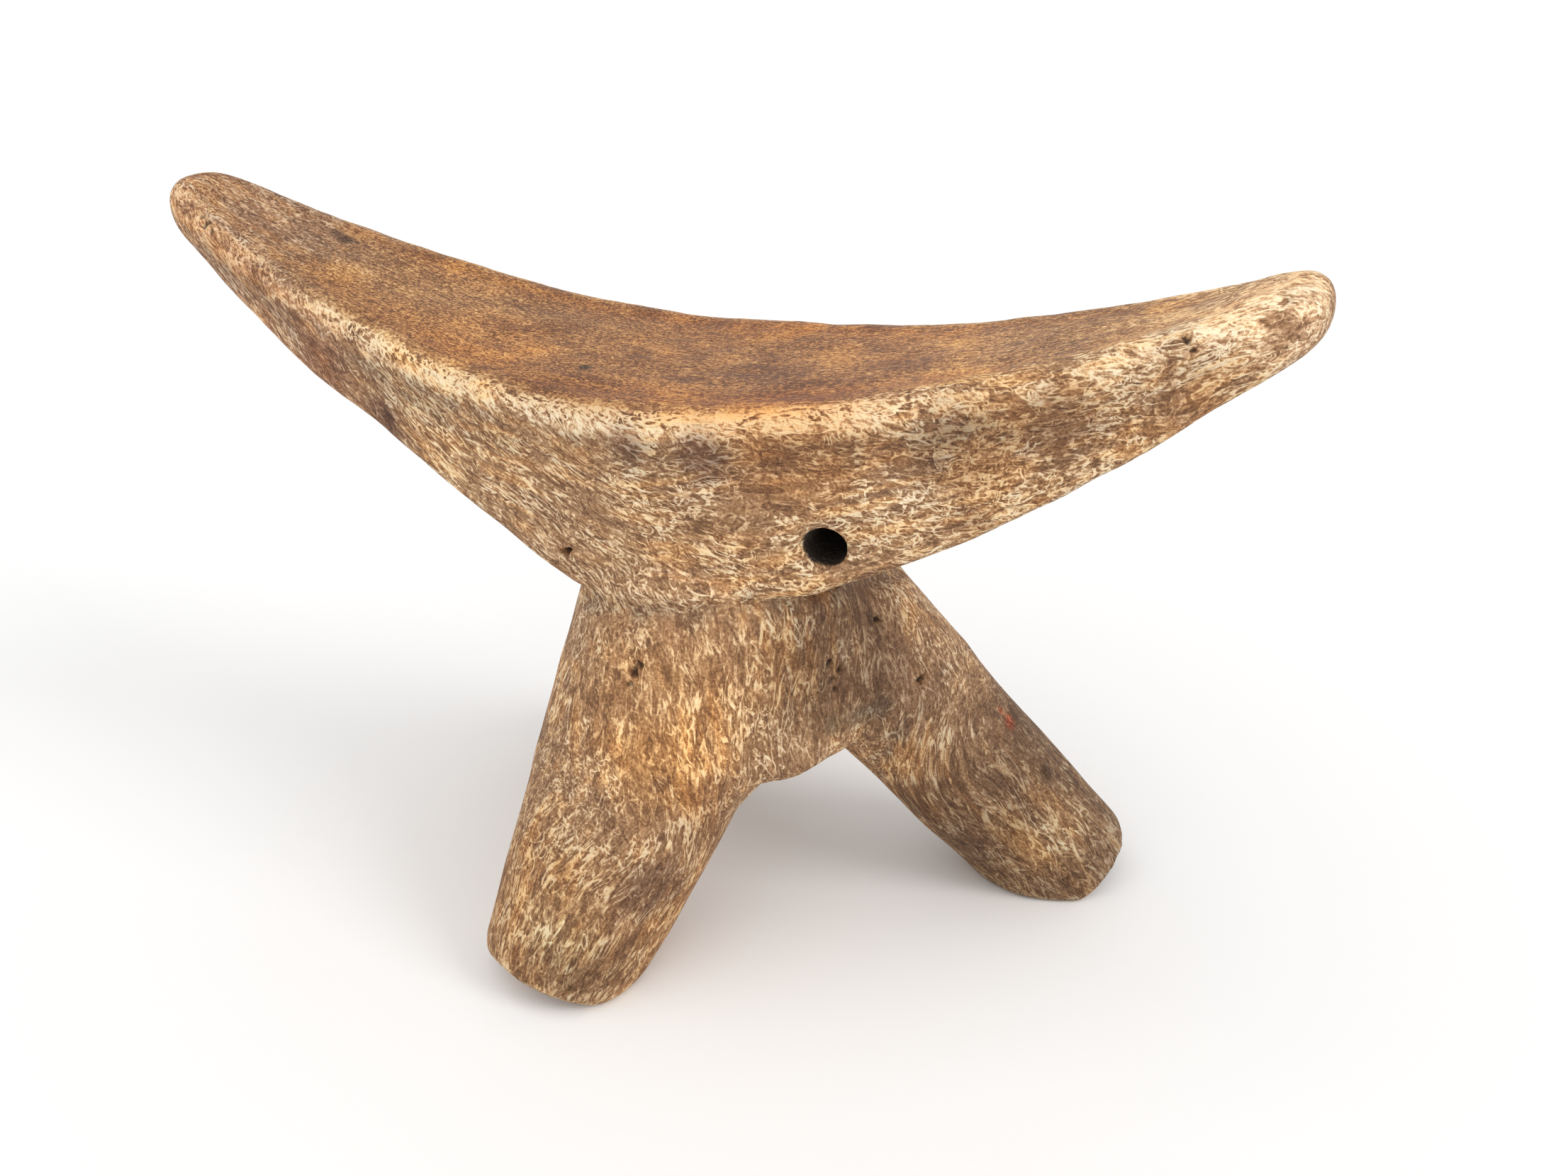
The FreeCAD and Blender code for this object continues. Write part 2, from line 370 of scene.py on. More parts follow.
proud = ((points - rubbed(points, PROUD_PASSES)) * outward).sum(1) / MM
ridge = np.exp(-((from_rim - RIDGE_PLACE) / RIDGE_WIDTH) ** 2)
ridge_run = ease(RIDGE_START, across) * (1.0 - RIDGE_FADING * ease(RIDGE_END, across))
ridge *= RIDGE_LEAST + (1.0 - RIDGE_LEAST) * ridge_run
foot_edge = ease(FOOT_PROUD, proud) * (height < FOOT_HEIGHT)
arris_height = ARRIS_START[1] + ARRIS_SLOPE * (across - ARRIS_START[0])
lower_arris = fade(ARRIS_WIDTH, np.abs(height - arris_height)) * ease(ARRIS_RUN_IN, across)
lower_arris *= (points[:, 1] < 0) * ease(ARRIS_FACING, facing_front) * fade(ARRIS_RUN_OUT, across)
pale_tip = ease(PALE_TIP, across) * ease(PALE_FACING, facing_front + PALE_LEAN * facing_up)
pale_tip *= 1.0 + ease(PALE_TOP, facing_up)
bare = np.maximum.reduce([ridge, BARE_FOOT * foot_edge, BARE_ARRIS * lower_arris, BARE_TIP * pale_tip])
bare = rubbed(bare, BARE_PASSES)

# Dirt, painted shade and stains: the valleys, the creases and the band under the rim are darkened, partly
# by soot and grease and partly as painted shade.
# Broad tints come from light, smoke and handling, and a few are painted light and shade; each stain is a
# soft patch with its own tint, and two are painted shade.
VALLEY_DEPTH = (0.04, 0.9)
UNDER_RIM = (5.0, 8.0)
UNDER_RIM_END = (11.0, 19.0)
UNDER_RIM_HEIGHT = 120.0
UNDER_RIM_RUN = (85.0, 115.0)
CREASE_DIRT_AND_SHADE = 0.8
RIM_DIRT_AND_SHADE = 0.5
DIRT_AND_SHADE_PASSES = 4
INSIDE_RIM = (7.0, 10.0)
INSIDE_RIM_END = (12.0, 24.0)
FRONT_LIGHT_FACING = (0.3, 0.8)
PATCH_CORE = 0.35
PATCH_EDGE = 1.15
STAINS_AND_SHADE = (
    # middle in mm, reach in mm, tint
    # The first two are painted shade on the stem under the right wing, over its own darker wood.
    ((50.0, -14.0, 92.0), 27.0, (0.52, 0.50, 0.50)),
    ((62.0, 2.0, 70.0), 18.0, (0.74, 0.73, 0.74)),
    ((16.0, -44.0, 84.0), 30.0, (1.22, 1.13, 0.96)),
    ((14.0, -50.0, 70.0), 17.0, (1.08, 1.00, 0.84)),
    ((24.0, -42.0, 53.0), 12.0, (0.86, 0.80, 0.76)),
    ((15.0, -51.0, 66.0), 3.0, (0.62, 0.60, 0.66)),
    ((49.0, -16.0, 72.0), 5.0, (0.68, 0.76, 0.84)),
    ((52.0, -8.0, 71.0), 5.0, (0.62, 0.72, 0.84)),
    ((58.0, -6.0, 73.0), 4.5, (0.72, 0.78, 0.86)),
    ((87.0, 24.0, 58.0), 3.0, (1.50, 0.66, 0.54)),
    ((85.0, 23.0, 62.0), 1.8, (1.40, 0.72, 0.60)),
    ((98.0, 26.0, 42.0), 3.4, (0.52, 0.50, 0.48)),
    ((100.0, 26.0, 22.0), 16.0, (1.50, 1.54, 1.48)),
    ((-19.0, -17.0, 161.0), 2.4, (0.22, 0.25, 0.33)),
    ((-8.0, -68.0, 28.0), 13.0, (1.22, 1.30, 1.30)),
    ((14.0, -53.0, 34.0), 13.0, (0.66, 0.66, 0.74)),
    ((-8.0, -62.0, 14.0), 17.0, (0.69, 0.72, 0.74)),
    ((-72.0, -31.0, 145.0), 9.0, (0.60, 0.55, 0.58)),
    ((-90.0, -29.0, 158.0), 10.0, (0.78, 0.72, 0.74)),
    ((5.0, -42.0, 153.0), 6.0, (0.64, 0.60, 0.64)),
    ((24.0, -40.0, 152.0), 9.0, (0.56, 0.52, 0.58)),
    ((42.0, -38.0, 154.0), 6.0, (0.64, 0.60, 0.62)),
    ((83.0, -30.0, 160.0), 15.0, (0.63, 0.60, 0.61)),
    ((102.0, -25.0, 166.0), 13.0, (0.66, 0.62, 0.62)),
    ((70.0, -32.0, 153.0), 9.0, (0.82, 0.79, 0.79)),
    ((66.0, -32.0, 147.0), 7.0, (1.30, 1.40, 1.52)),
    ((85.0, -26.0, 141.0), 5.0, (0.66, 0.62, 0.62)),
    ((142.0, -8.0, 192.0), 20.0, (1.14, 1.13, 1.13)),
    ((128.0, -20.0, 171.0), 17.0, (0.86, 0.84, 0.84)),
    ((45.0, -40.0, 160.0), 24.0, (1.01, 0.85, 0.67)),
    ((-108.0, 9.0, 180.0), 3.6, (0.40, 0.38, 0.38)),
    ((-112.0, 10.0, 181.0), 2.6, (0.44, 0.42, 0.42)),
    ((-70.0, -32.0, 145.0), 3.6, (0.56, 0.50, 0.50)),
    ((144.0, -12.0, 194.0), 1.5, (0.35, 0.32, 0.30)),
    ((-50.0, -13.0, 165.0), 22.0, (1.12, 1.04, 0.90)),
)

# Dirt and painted shade: the valleys, the creases and the band under the rim are darkened.
in_valley = ease(VALLEY_DEPTH, -proud)
under_rim = ease(UNDER_RIM, below_rim) * fade(UNDER_RIM_END, below_rim)
under_rim *= (height > UNDER_RIM_HEIGHT) * fade(UNDER_RIM_RUN, across)
dirt_and_shade = rubbed(np.maximum.reduce([in_valley, CREASE_DIRT_AND_SHADE * crease, RIM_DIRT_AND_SHADE * under_rim]),
               DIRT_AND_SHADE_PASSES)
inside_rim = ease(INSIDE_RIM, from_rim) * fade(INSIDE_RIM_END, from_rim) * polish
seat_sides = (1.0 - polish) * seat_share
# The low middle of the dish, where shade is painted.
shaded_dish_middle = ease((-70.0, 0.0), across) * fade((50.0, 105.0), across)
seat_left = ease((-120.0, -85.0), across) * fade((-60.0, 40.0), across)
broad_tints_and_shading = {
    # name: where it lies, tint
    "under the rim, inside": (inside_rim, (0.96, 0.85, 0.70)),
    # Painted light: the sides of the block that face the front are made lighter.
    "painted light on the front of the block": (seat_sides * ease(FRONT_LIGHT_FACING, facing_front), (1.17, 1.17, 1.17)),
    # Painted shade darkens the low middle of the dish.
    "painted shade in the low of the dish": (polish * shaded_dish_middle, (0.88, 0.75, 0.61)),
    "sides of the left wing": (seat_sides * fade((-95.0, -60.0), across), (0.89, 0.81, 0.81)),
    "right of the dish": (polish * ease((5.0, 60.0), across), (1.22, 1.22, 1.16)),
    "left tip": (polish * fade((-118.0, -80.0), across), (0.70, 0.72, 0.84)),
    "left of the dish": (polish * seat_left, (1.02, 0.96, 0.82)),
    "front leg": (limb_share["front_leg"], (0.90, 0.84, 0.76)),
    # The right leg is darker wood, with painted shade from the right wing laid over it.
    "right leg, dark wood and painted shade": (limb_share["right_leg"], (0.50, 0.48, 0.47)),
    "rear leg": (limb_share["rear_leg"], (0.84, 0.83, 0.82)),
}
# The tints are multiplied together; some of them are painted light and painted shade.
tints_and_painted_shading = np.ones((point_count, 3))
for share, tint in broad_tints_and_shading.values():
    tints_and_painted_shading *= 1.0 + share[:, None] * (np.array(tint) - 1.0)
for middle, reach, tint in STAINS_AND_SHADE:
    share = fade((PATCH_CORE * reach, PATCH_EDGE * reach), from_place(points, middle))
    tints_and_painted_shading *= 1.0 + share[:, None] * (np.array(tint) - 1.0)

# The hollows are sunk now, each a small uneven bowl that goes straight into the wood.
# Their insides are painted dark as shade, and so is the wall of the thong hole.
BOWL_CORE = 0.3
BOWL_MARGIN = 0.4
BOWL_LOBES = (
    # how many lobes, how much they stand out, how far they turn from one hollow to the next
    (2, 0.26, 1.7), (3, 0.18, 2.9),
)
LEAST_HOLLOW_SHADE = 0.6
HOLLOW_SHADE_PER_MM = 0.2
THONG_HOLE_X = 50.5
THONG_HOLE_HEIGHT = 129.5
THONG_HOLE_REACH = 5.9
THONG_WALL_FACING = 0.55

# Painted shade: each hollow is darker inside the deeper it is, and the thong hole's wall is darkened too.
hollow_shade = np.zeros(point_count)
pitted = points.copy()
for number, (mouth, radius, depth) in enumerate(HOLLOWS):
    nearest = from_place(points, mouth).argmin()
    inward = -outward[nearest]
    offset = (points - points[nearest]) / MM
    level = np.cross(inward, (0.0, 0.0, 1.0))
    level /= np.linalg.norm(level)
    turn = np.arctan2(offset @ np.cross(inward, level), offset @ level)
    uneven = 1.0 + sum(size * np.sin(lobes * turn + step * number) for lobes, size, step in BOWL_LOBES)
    bowl = fade((BOWL_CORE * radius, radius + BOWL_MARGIN), np.linalg.norm(offset, axis=1) * uneven)
    pitted = moved(pitted, inward, bowl * depth)
    if depth > 0:
        hollow_shade = np.maximum(hollow_shade, bowl * min(1.0, LEAST_HOLLOW_SHADE + HOLLOW_SHADE_PER_MM * depth))
thong_hole = np.hypot(across - THONG_HOLE_X, height - THONG_HOLE_HEIGHT) < THONG_HOLE_REACH
thong_hole &= np.abs(facing_front) < THONG_WALL_FACING
hollow_shade = np.maximum(hollow_shade, rubbed(thong_hole.astype(float), 1))
put_skin(pitted)


def keep_on_skin(name, values):
    """Keep values on the skin's points, for the wood's finish to read."""
    kind = "FLOAT_VECTOR" if values.ndim == 2 else "FLOAT"
    field = skin.attributes.new(name, kind, "POINT")
    field.data.foreach_set("vector" if values.ndim == 2 else "value",
                           values.astype(np.float32).ravel())


for name, values in (("down_grain", down_grain), ("along_seat", along_seat), ("seat_share", seat_share),
                     ("polish", polish), ("bare", bare), ("dirt_and_shade", dirt_and_shade),
                     ("tints_and_painted_shading", tints_and_painted_shading), ("hollow_shade", hollow_shade)):
    keep_on_skin(name, values)

# Old hardwood: brown heart wood with pale flecks along the grain, cream where it is rubbed bare.
# It is dark in the creases, from dirt and painted shade, and red-brown with a low shine where it is
# polished.
# Both finishes read the fields that are kept on the skin.
WORN_SHADES = (
    (0.18, (0.165, 0.080, 0.040)), (0.36, (0.312, 0.160, 0.072)), (0.50, (0.448, 0.255, 0.133)),
    (0.60, (0.605, 0.376, 0.202)), (0.74, (0.840, 0.590, 0.350)), (0.92, (0.970, 0.785, 0.530)),
)
WORN_TINTS = ((0.38, (0.95, 0.98, 1.05)), (0.50, (1.0, 1.0, 1.0)), (0.60, (1.10, 0.97, 0.78)))
WORN_MIDDLE = 0.435
DISH_SHADES = (
    (0.26, (0.150, 0.061, 0.021)), (0.40, (0.292, 0.132, 0.049)), (0.52, (0.440, 0.222, 0.094)),
    (0.64, (0.590, 0.335, 0.150)), (0.90, (0.880, 0.650, 0.360)),
)
DISH_TINTS = ((0.40, (0.90, 0.88, 0.86)), (0.50, (1.0, 1.0, 1.0)), (0.60, (1.13, 1.04, 0.82)))
DISH_MIDDLE = 0.465
DIRT_AND_SHADE_COLOUR = (0.085, 0.052, 0.036)
HOLE_SHADE = (0.012, 0.009, 0.008)
SWAY_WIDTH = 40.0 * MM
BRANCH_SWAY = 6.0 * MM
SEAT_SWAY = 10.0 * MM
PALE_LINE = 0.062
DARK_LINE = 0.06
LINE_CORE = 0.3
PALE_LINE_LIGHT = (0.42, 0.50)
DARK_LINE_SHADE = 0.15
BARE_SCUFF = 2.2
BARE_LIGHT = (0.03, 0.39)
BARE_THROUGH = 0.8
WORN_SWINGS = {"chips": 1.15, "flakes": 0.30, "threads": 0.48, "specks": 0.62}
DISH_SWINGS = {"chips": 1.05, "threads": 0.46, "specks": 1.05}
BROAD_SWINGS = {"blotches": 0.22, "patches": 0.26}
DISH_SPREAD = 1.9
SMOOTH_SWINGS = {"flakes": 0.8, "blotches": 1.0}
SMOOTH = (0.25, 0.9)
DIRT_AND_SHADE_COVER = (0.10, 0.78)
POLISHED = (0.2, 0.9)
POLISHED_ROUGHNESS = (0.68, 0.46)
POLISHED_RELIEF = (1.0, 0.22)
ROUGHNESS_SWING = 0.22
WOOD_SPECULAR = 0.35
RELIEF_STRENGTH = 0.55
RELIEF_HEIGHT = 0.9 * MM


def add_node(tree, kind, **settings):
    """A new node in the tree, with its settings made."""
    node = tree.nodes.new(kind)
    for setting, value in settings.items():
        setattr(node, setting, value)
    return node


def give(tree, target, value):
    """Feed an input from another node, or set it to a plain value."""
    if isinstance(value, bpy.types.NodeSocket):
        tree.links.new(value, target)
    else:
        target.default_value = value


def reckon(tree, operation, first, second):
    """What one sum on two values comes to."""
    node = add_node(tree, "ShaderNodeMath", operation=operation)
    give(tree, node.inputs[0], first)
    give(tree, node.inputs[1], second)
    return node.outputs["Value"]


def old_wood(name):
    """The finish of a carved member, read from the fields on its skin."""
    wood = bpy.data.materials.new(name)
    wood.use_nodes = True
    tree = wood.node_tree
    tree.nodes.clear()

    def field(name, output="Fac"):
        """Values that are kept on the skin."""
        return add_node(tree, "ShaderNodeAttribute", attribute_name=name).outputs[output]

    def noise(coordinates, scale, detail, roughness=0.5, shift=(0.0, 0.0, 0.0), ragged=0.0):
        """A node of soft noise on the coordinates, scaled and shifted."""
        placed = add_node(tree, "ShaderNodeMapping")
        give(tree, placed.inputs["Scale"], scale)
        give(tree, placed.inputs["Location"], shift)
        give(tree, placed.inputs["Vector"], coordinates)
        node = add_node(tree, "ShaderNodeTexNoise")
        give(tree, node.inputs["Scale"], 1.0)
        give(tree, node.inputs["Detail"], detail)
        give(tree, node.inputs["Roughness"], roughness)
        give(tree, node.inputs["Distortion"], ragged)
        give(tree, node.inputs["Vector"], placed.outputs["Vector"])
        return node

    def pattern(coordinates, along, beside, **settings):
        """Noise of this many waves to the metre along the coordinates' X, and beside it."""
        return noise(coordinates, (along, beside, beside), **settings).outputs["Fac"]

    def between(values, span, bottom=0.0, top=1.0):
        """Values below the span made the bottom one, and above it the top one."""
        spread = add_node(tree, "ShaderNodeMapRange", interpolation_type="SMOOTHSTEP")
        give(tree, spread.inputs["From Min"], span[0])
        give(tree, spread.inputs["From Max"], span[1])
        give(tree, spread.inputs["To Min"], bottom)
        give(tree, spread.inputs["To Max"], top)
        give(tree, spread.inputs["Value"], values)
        return spread.outputs["Result"]

    def combine(operation, first, *others):
        """One sum made with each value in turn."""
        for other in others:
            first = reckon(tree, operation, first, other)
        return first

    def shades(values, stops):
        """The colours that values stand for, blended between the stops."""
        ramp = add_node(tree, "ShaderNodeValToRGB")
        colours = ramp.color_ramp.elements
        colours.remove(colours[1])
        for number, (place, colour) in enumerate(stops):
            stop = colours.new(place) if number else colours[0]
            stop.position = place
            stop.color = (*colour, 1.0)
        give(tree, ramp.inputs["Fac"], values)
        return ramp.outputs["Color"]

    def laid_over(under, over, share, way="MIX"):
        """One colour laid over another, by this share."""
        mix = add_node(tree, "ShaderNodeMix", data_type="RGBA", blend_type=way)
        give(tree, mix.inputs[0], share)
        give(tree, mix.inputs[6], under)
        give(tree, mix.inputs[7], (*over, 1.0) if isinstance(over, tuple) else over)
        return mix.outputs[2]

    def swayed(coordinates, reach):
        """Coordinates that sway to and fro, as grain does round knots and forks."""
        drift = noise(place, (1.0 / SWAY_WIDTH,) * 3, 1.0)
        centred = add_node(tree, "ShaderNodeVectorMath", operation="SUBTRACT")
        give(tree, centred.inputs[0], drift.outputs["Color"])
        give(tree, centred.inputs[1], (0.5, 0.5, 0.5))
        sway = add_node(tree, "ShaderNodeVectorMath", operation="MULTIPLY_ADD")
        give(tree, sway.inputs[0], centred.outputs["Vector"])
        give(tree, sway.inputs[1], (reach,) * 3)
        give(tree, sway.inputs[2], coordinates)
        return sway.outputs["Vector"]

    def turned(coordinates, angle):
        """Coordinates turned by these angles about X, Y and Z."""
        turn = add_node(tree, "ShaderNodeVectorRotate", rotation_type="EULER_XYZ")
        give(tree, turn.inputs["Rotation"], angle)
        give(tree, turn.inputs["Vector"], coordinates)
        return turn.outputs["Vector"]

    def with_the_grain(on_branch, on_seat):
        """One pattern on the branches and another on the seat, met at the neck."""
        mix = add_node(tree, "ShaderNodeMix", data_type="FLOAT")
        give(tree, mix.inputs[0], seat_share)
        give(tree, mix.inputs[2], on_branch)
        give(tree, mix.inputs[3], on_seat)
        return mix.outputs[0]

    def swing(values, reach):
        """Values about nought, from noise about a half."""
        return combine("MULTIPLY", combine("SUBTRACT", values, 0.5), reach)

    def calmed(values, share):
        """Noise that keeps this share of its swing about a half."""
        return combine("ADD", swing(values, share), 0.5)

    def hairlines(values, width):
        """Thin lines where noise crosses a half, from 0 beside them to 1 on them."""
        apart = combine("ABSOLUTE", combine("SUBTRACT", values, 0.5), 0.0)
        return between(apart, (LINE_CORE * width, width), 1.0, 0.0)

    place = add_node(tree, "ShaderNodeTexCoord").outputs["Object"]
    down_branch = swayed(field("down_grain", "Vector"), BRANCH_SWAY)
    along_seat = swayed(field("along_seat", "Vector"), SEAT_SWAY)
    seat_share, polish, bare, dirt_and_shade, hollow_shade = (
        field(name) for name in ("seat_share", "polish", "bare", "dirt_and_shade", "hollow_shade"))

    # Chips and flakes follow the grain, slivers and scores cross it, and threads run long.
    # Specks, blotches and patches lie on the wood without a direction.
    chips = with_the_grain(
        calmed(pattern(down_branch, along=380.0, beside=1500.0, detail=1.0, roughness=0.6,
                       ragged=0.4), 0.74),
        pattern(turned(along_seat, (0.0, -0.45, 0.0)), along=500.0, beside=1300.0, detail=1.0,
                roughness=0.6, ragged=0.6))
    flake = {"detail": 2.0, "roughness": 0.6, "shift": (4.0, 6.0, 3.0)}
    flakes = with_the_grain(
        calmed(pattern(down_branch, along=110.0, beside=460.0, ragged=0.3, **flake), 0.7),
        pattern(turned(along_seat, (0.0, -0.30, 0.0)), along=180.0, beside=440.0, ragged=0.4, **flake))
    sliver = {"beside": 400.0, "detail": 1.5, "roughness": 0.6, "shift": (9.0, 4.0, 1.0)}
    slivers = with_the_grain(
        pattern(turned(down_branch, (0.1, 0.25, 0.2)), along=120.0, ragged=0.8, **sliver),
        pattern(turned(along_seat, (0.2, -0.85, 0.3)), along=150.0, ragged=1.0, **sliver))
    score = {"beside": 420.0, "detail": 1.5, "roughness": 0.6, "shift": (1.0, 8.0, 4.0)}
    scores = with_the_grain(
        pattern(turned(down_branch, (0.0, -0.2, -0.1)), along=80.0, ragged=0.5, **score),
        pattern(turned(along_seat, (0.0, -0.3, -0.2)), along=120.0, ragged=0.7, **score))
    thread = {"detail": 3.0, "roughness": 0.62, "shift": (3.0, 1.0, 2.0)}
    threads = with_the_grain(pattern(down_branch, along=22.0, beside=300.0, **thread),
                             pattern(along_seat, along=34.0, beside=330.0, **thread))
    specks = pattern(place, along=1500.0, beside=1500.0, detail=1.5, roughness=0.7, shift=(5.0, 2.0, 7.0))
    blotches = pattern(place, along=95.0, beside=95.0, detail=4.0, roughness=0.62, shift=(1.0, 4.0, 2.0))
    patches = pattern(place, along=30.0, beside=30.0, detail=3.0, roughness=0.55, shift=(8.0, 3.0, 6.0))

    # Worn wood: chips and pale lines where it is scuffed, over broad light and dark.
    scuffed = combine("MULTIPLY", between(blotches, (0.38, 0.60), 0.35, 1.05),
                      between(patches, (0.36, 0.58), 0.70, 1.25))
    scuffed = combine("MAXIMUM", scuffed, combine("MULTIPLY", bare, bare, BARE_SCUFF))
    pale_slivers = combine("MULTIPLY", hairlines(slivers, PALE_LINE), between(flakes, (0.46, 0.58)))
    pale_scores = combine("MULTIPLY", hairlines(scores, PALE_LINE),
                          between(flakes, (0.44, 0.56), 1.0, 0.0))
    pale_lines = combine("MULTIPLY", combine("MAXIMUM", pale_slivers, pale_scores),
                         between(seat_share, (0.0, 1.0), *PALE_LINE_LIGHT))
    dark_lines = combine("MAXIMUM", hairlines(combine("ADD", slivers, 0.12), DARK_LINE),
                         hairlines(combine("ADD", scores, 0.13), DARK_LINE))
    dark_lines = combine("MULTIPLY", dark_lines, between(blotches, (0.40, 0.58), 1.0, 0.35),
                         DARK_LINE_SHADE)
    chipped = combine("ADD", swing(chips, WORN_SWINGS["chips"]), swing(flakes, WORN_SWINGS["flakes"]),
                      pale_lines)
    fine = combine("ADD", swing(threads, WORN_SWINGS["threads"]), swing(specks, WORN_SWINGS["specks"]))
    chipped = combine("ADD", combine("MULTIPLY", chipped, scuffed), fine)
    chipped = combine("SUBTRACT", chipped, dark_lines)
    broad = combine("ADD", swing(blotches, BROAD_SWINGS["blotches"]),
                    swing(patches, BROAD_SWINGS["patches"]))
    worn_bare = combine("MULTIPLY", bare, between(blotches, (0.38, 0.58), *BARE_LIGHT))
    worn = shades(combine("ADD", chipped, broad, WORN_MIDDLE, worn_bare), WORN_SHADES)
    hue = combine("ADD", combine("MULTIPLY", patches, 0.5), combine("MULTIPLY", threads, 0.5))
    worn = laid_over(worn, shades(hue, WORN_TINTS), 1.0, "MULTIPLY")

    # The dish: the same wood, smoother and redder, where the polish is not rubbed through.
    dish_grain = combine("ADD", swing(chips, DISH_SWINGS["chips"]), swing(threads, DISH_SWINGS["threads"]))
    dish_broad = combine("ADD", swing(specks, DISH_SWINGS["specks"]),
                         combine("MULTIPLY", broad, DISH_SPREAD))
    dish = shades(combine("ADD", dish_grain, dish_broad, DISH_MIDDLE, worn_bare), DISH_SHADES)
    dish_hue = combine("ADD", combine("MULTIPLY", patches, 0.7), combine("MULTIPLY", blotches, 0.3))
    dish = laid_over(dish, shades(dish_hue, DISH_TINTS), 1.0, "MULTIPLY")
    smooth = combine("SUBTRACT", polish, combine("MULTIPLY", bare, BARE_THROUGH))
    smooth = combine("ADD", smooth, combine("ADD", swing(flakes, SMOOTH_SWINGS["flakes"]),
                                            swing(blotches, SMOOTH_SWINGS["blotches"])))
    colour = laid_over(worn, dish, between(smooth, SMOOTH))
    # The kept tints, among them painted light and painted shade, are laid over the colour.
    colour = laid_over(colour, field("tints_and_painted_shading", "Vector"), 1.0, "MULTIPLY")
    # Dirt and painted shade darken the valleys, the creases and the band under the rim.
    dirt_and_shade_share = combine("MULTIPLY", dirt_and_shade, between(blotches, (0.38, 0.62), *DIRT_AND_SHADE_COVER))
    colour = laid_over(colour, DIRT_AND_SHADE_COLOUR, dirt_and_shade_share)
    # Painted shade, near black, inside the hollows and on the wall of the thong hole.
    colour = laid_over(colour, HOLE_SHADE, between(hollow_shade, (0.45, 1.0), 0.0, 0.95))

    body = add_node(tree, "ShaderNodeBsdfPrincipled")
    give(tree, body.inputs["Specular IOR Level"], WOOD_SPECULAR)
    give(tree, body.inputs["Base Color"], colour)
    give(tree, body.inputs["Roughness"],
         combine("ADD", between(polish, POLISHED, *POLISHED_ROUGHNESS), swing(threads, ROUGHNESS_SWING)))
    relief = add_node(tree, "ShaderNodeBump")
    give(tree, relief.inputs["Strength"], RELIEF_STRENGTH)
    give(tree, relief.inputs["Distance"], RELIEF_HEIGHT)
    give(tree, relief.inputs["Height"],
         combine("MULTIPLY", chipped, between(polish, POLISHED, *POLISHED_RELIEF)))
    give(tree, body.inputs["Normal"], relief.outputs["Normal"])
    surface = add_node(tree, "ShaderNodeOutputMaterial")
    give(tree, surface.inputs["Surface"], body.outputs["BSDF"])
    return wood


polished_wood = old_wood("polished_wood")
worn_wood = old_wood("worn_wood")

# The marks of the work: shallow swells and cuts the adze left, and small pits scattered by age.
# They follow the whole skin, so one tree of nodes lays them on it.
MARKS_SEED = 7
MARKS = (
    ("Swell height", 0.9 * MM), ("Swell spacing", 34.0 * MM),
    ("Cut height", 0.42 * MM), ("Cut spacing", 11.0 * MM),
    ("Pits per square metre", 900.0), ("Pit radius", 1.5 * MM), ("Pit depth", 0.7 * MM),
)
CUT_STRETCH = (0.4, 1.0, 1.0)

work = bpy.data.node_groups.new("marks_of_the_work", "GeometryNodeTree")
work.interface.new_socket("Geometry", in_out="INPUT", socket_type="NodeSocketGeometry")
for name, value in MARKS:
    socket = work.interface.new_socket(name, in_out="INPUT", socket_type="NodeSocketFloat")
    socket.default_value = value
seed_socket = work.interface.new_socket("Seed", in_out="INPUT", socket_type="NodeSocketInt")
wood_socket = work.interface.new_socket("Wood", in_out="INPUT", socket_type="NodeSocketMaterial")
work.interface.new_socket("Geometry", in_out="OUTPUT", socket_type="NodeSocketGeometry")

given = add_node(work, "NodeGroupInput").outputs
here = add_node(work, "GeometryNodeInputPosition").outputs["Position"]
out_of_skin = add_node(work, "GeometryNodeInputNormal").outputs["Normal"]


def kept_field(name, kind):
    """Values that are kept on the skin, for the marks to read."""
    node = add_node(work, "GeometryNodeInputNamedAttribute", data_type=kind)
    give(work, node.inputs["Name"], name)
    return node.outputs["Attribute"]


def scaled(vector, factor):
    """A vector made longer or shorter."""
    node = add_node(work, "ShaderNodeVectorMath", operation="SCALE")
    give(work, node.inputs["Vector"], vector)
    give(work, node.inputs["Scale"], factor)
    return node.outputs["Vector"]


def waves(coordinates, spacing):
    """Soft swells about this far apart, from about -1 to 1."""
    noise = add_node(work, "ShaderNodeTexNoise")
    give(work, noise.inputs["Scale"], 1.0)
    give(work, noise.inputs["Detail"], 1.0)
    give(work, noise.inputs["Vector"], scaled(coordinates, reckon(work, "DIVIDE", 1.0, spacing)))
    return reckon(work, "MULTIPLY", reckon(work, "SUBTRACT", noise.outputs["Fac"], 0.5), 2.0)


def shifted(geometry, offset):
    """The skin, moved out by this much."""
    node = add_node(work, "GeometryNodeSetPosition")
    give(work, node.inputs["Geometry"], geometry)
    give(work, node.inputs["Offset"], scaled(out_of_skin, offset))
    return node.outputs["Geometry"]


drawn = add_node(work, "ShaderNodeVectorMath", operation="MULTIPLY")
give(work, drawn.inputs[0], kept_field("down_grain", "FLOAT_VECTOR"))
give(work, drawn.inputs[1], CUT_STRETCH)
swells = reckon(work, "MULTIPLY", waves(here, given["Swell spacing"]), given["Swell height"])
cuts = reckon(work, "MULTIPLY", waves(drawn.outputs["Vector"], given["Cut spacing"]), given["Cut height"])
raised = shifted(given["Geometry"], reckon(work, "ADD", swells, cuts))

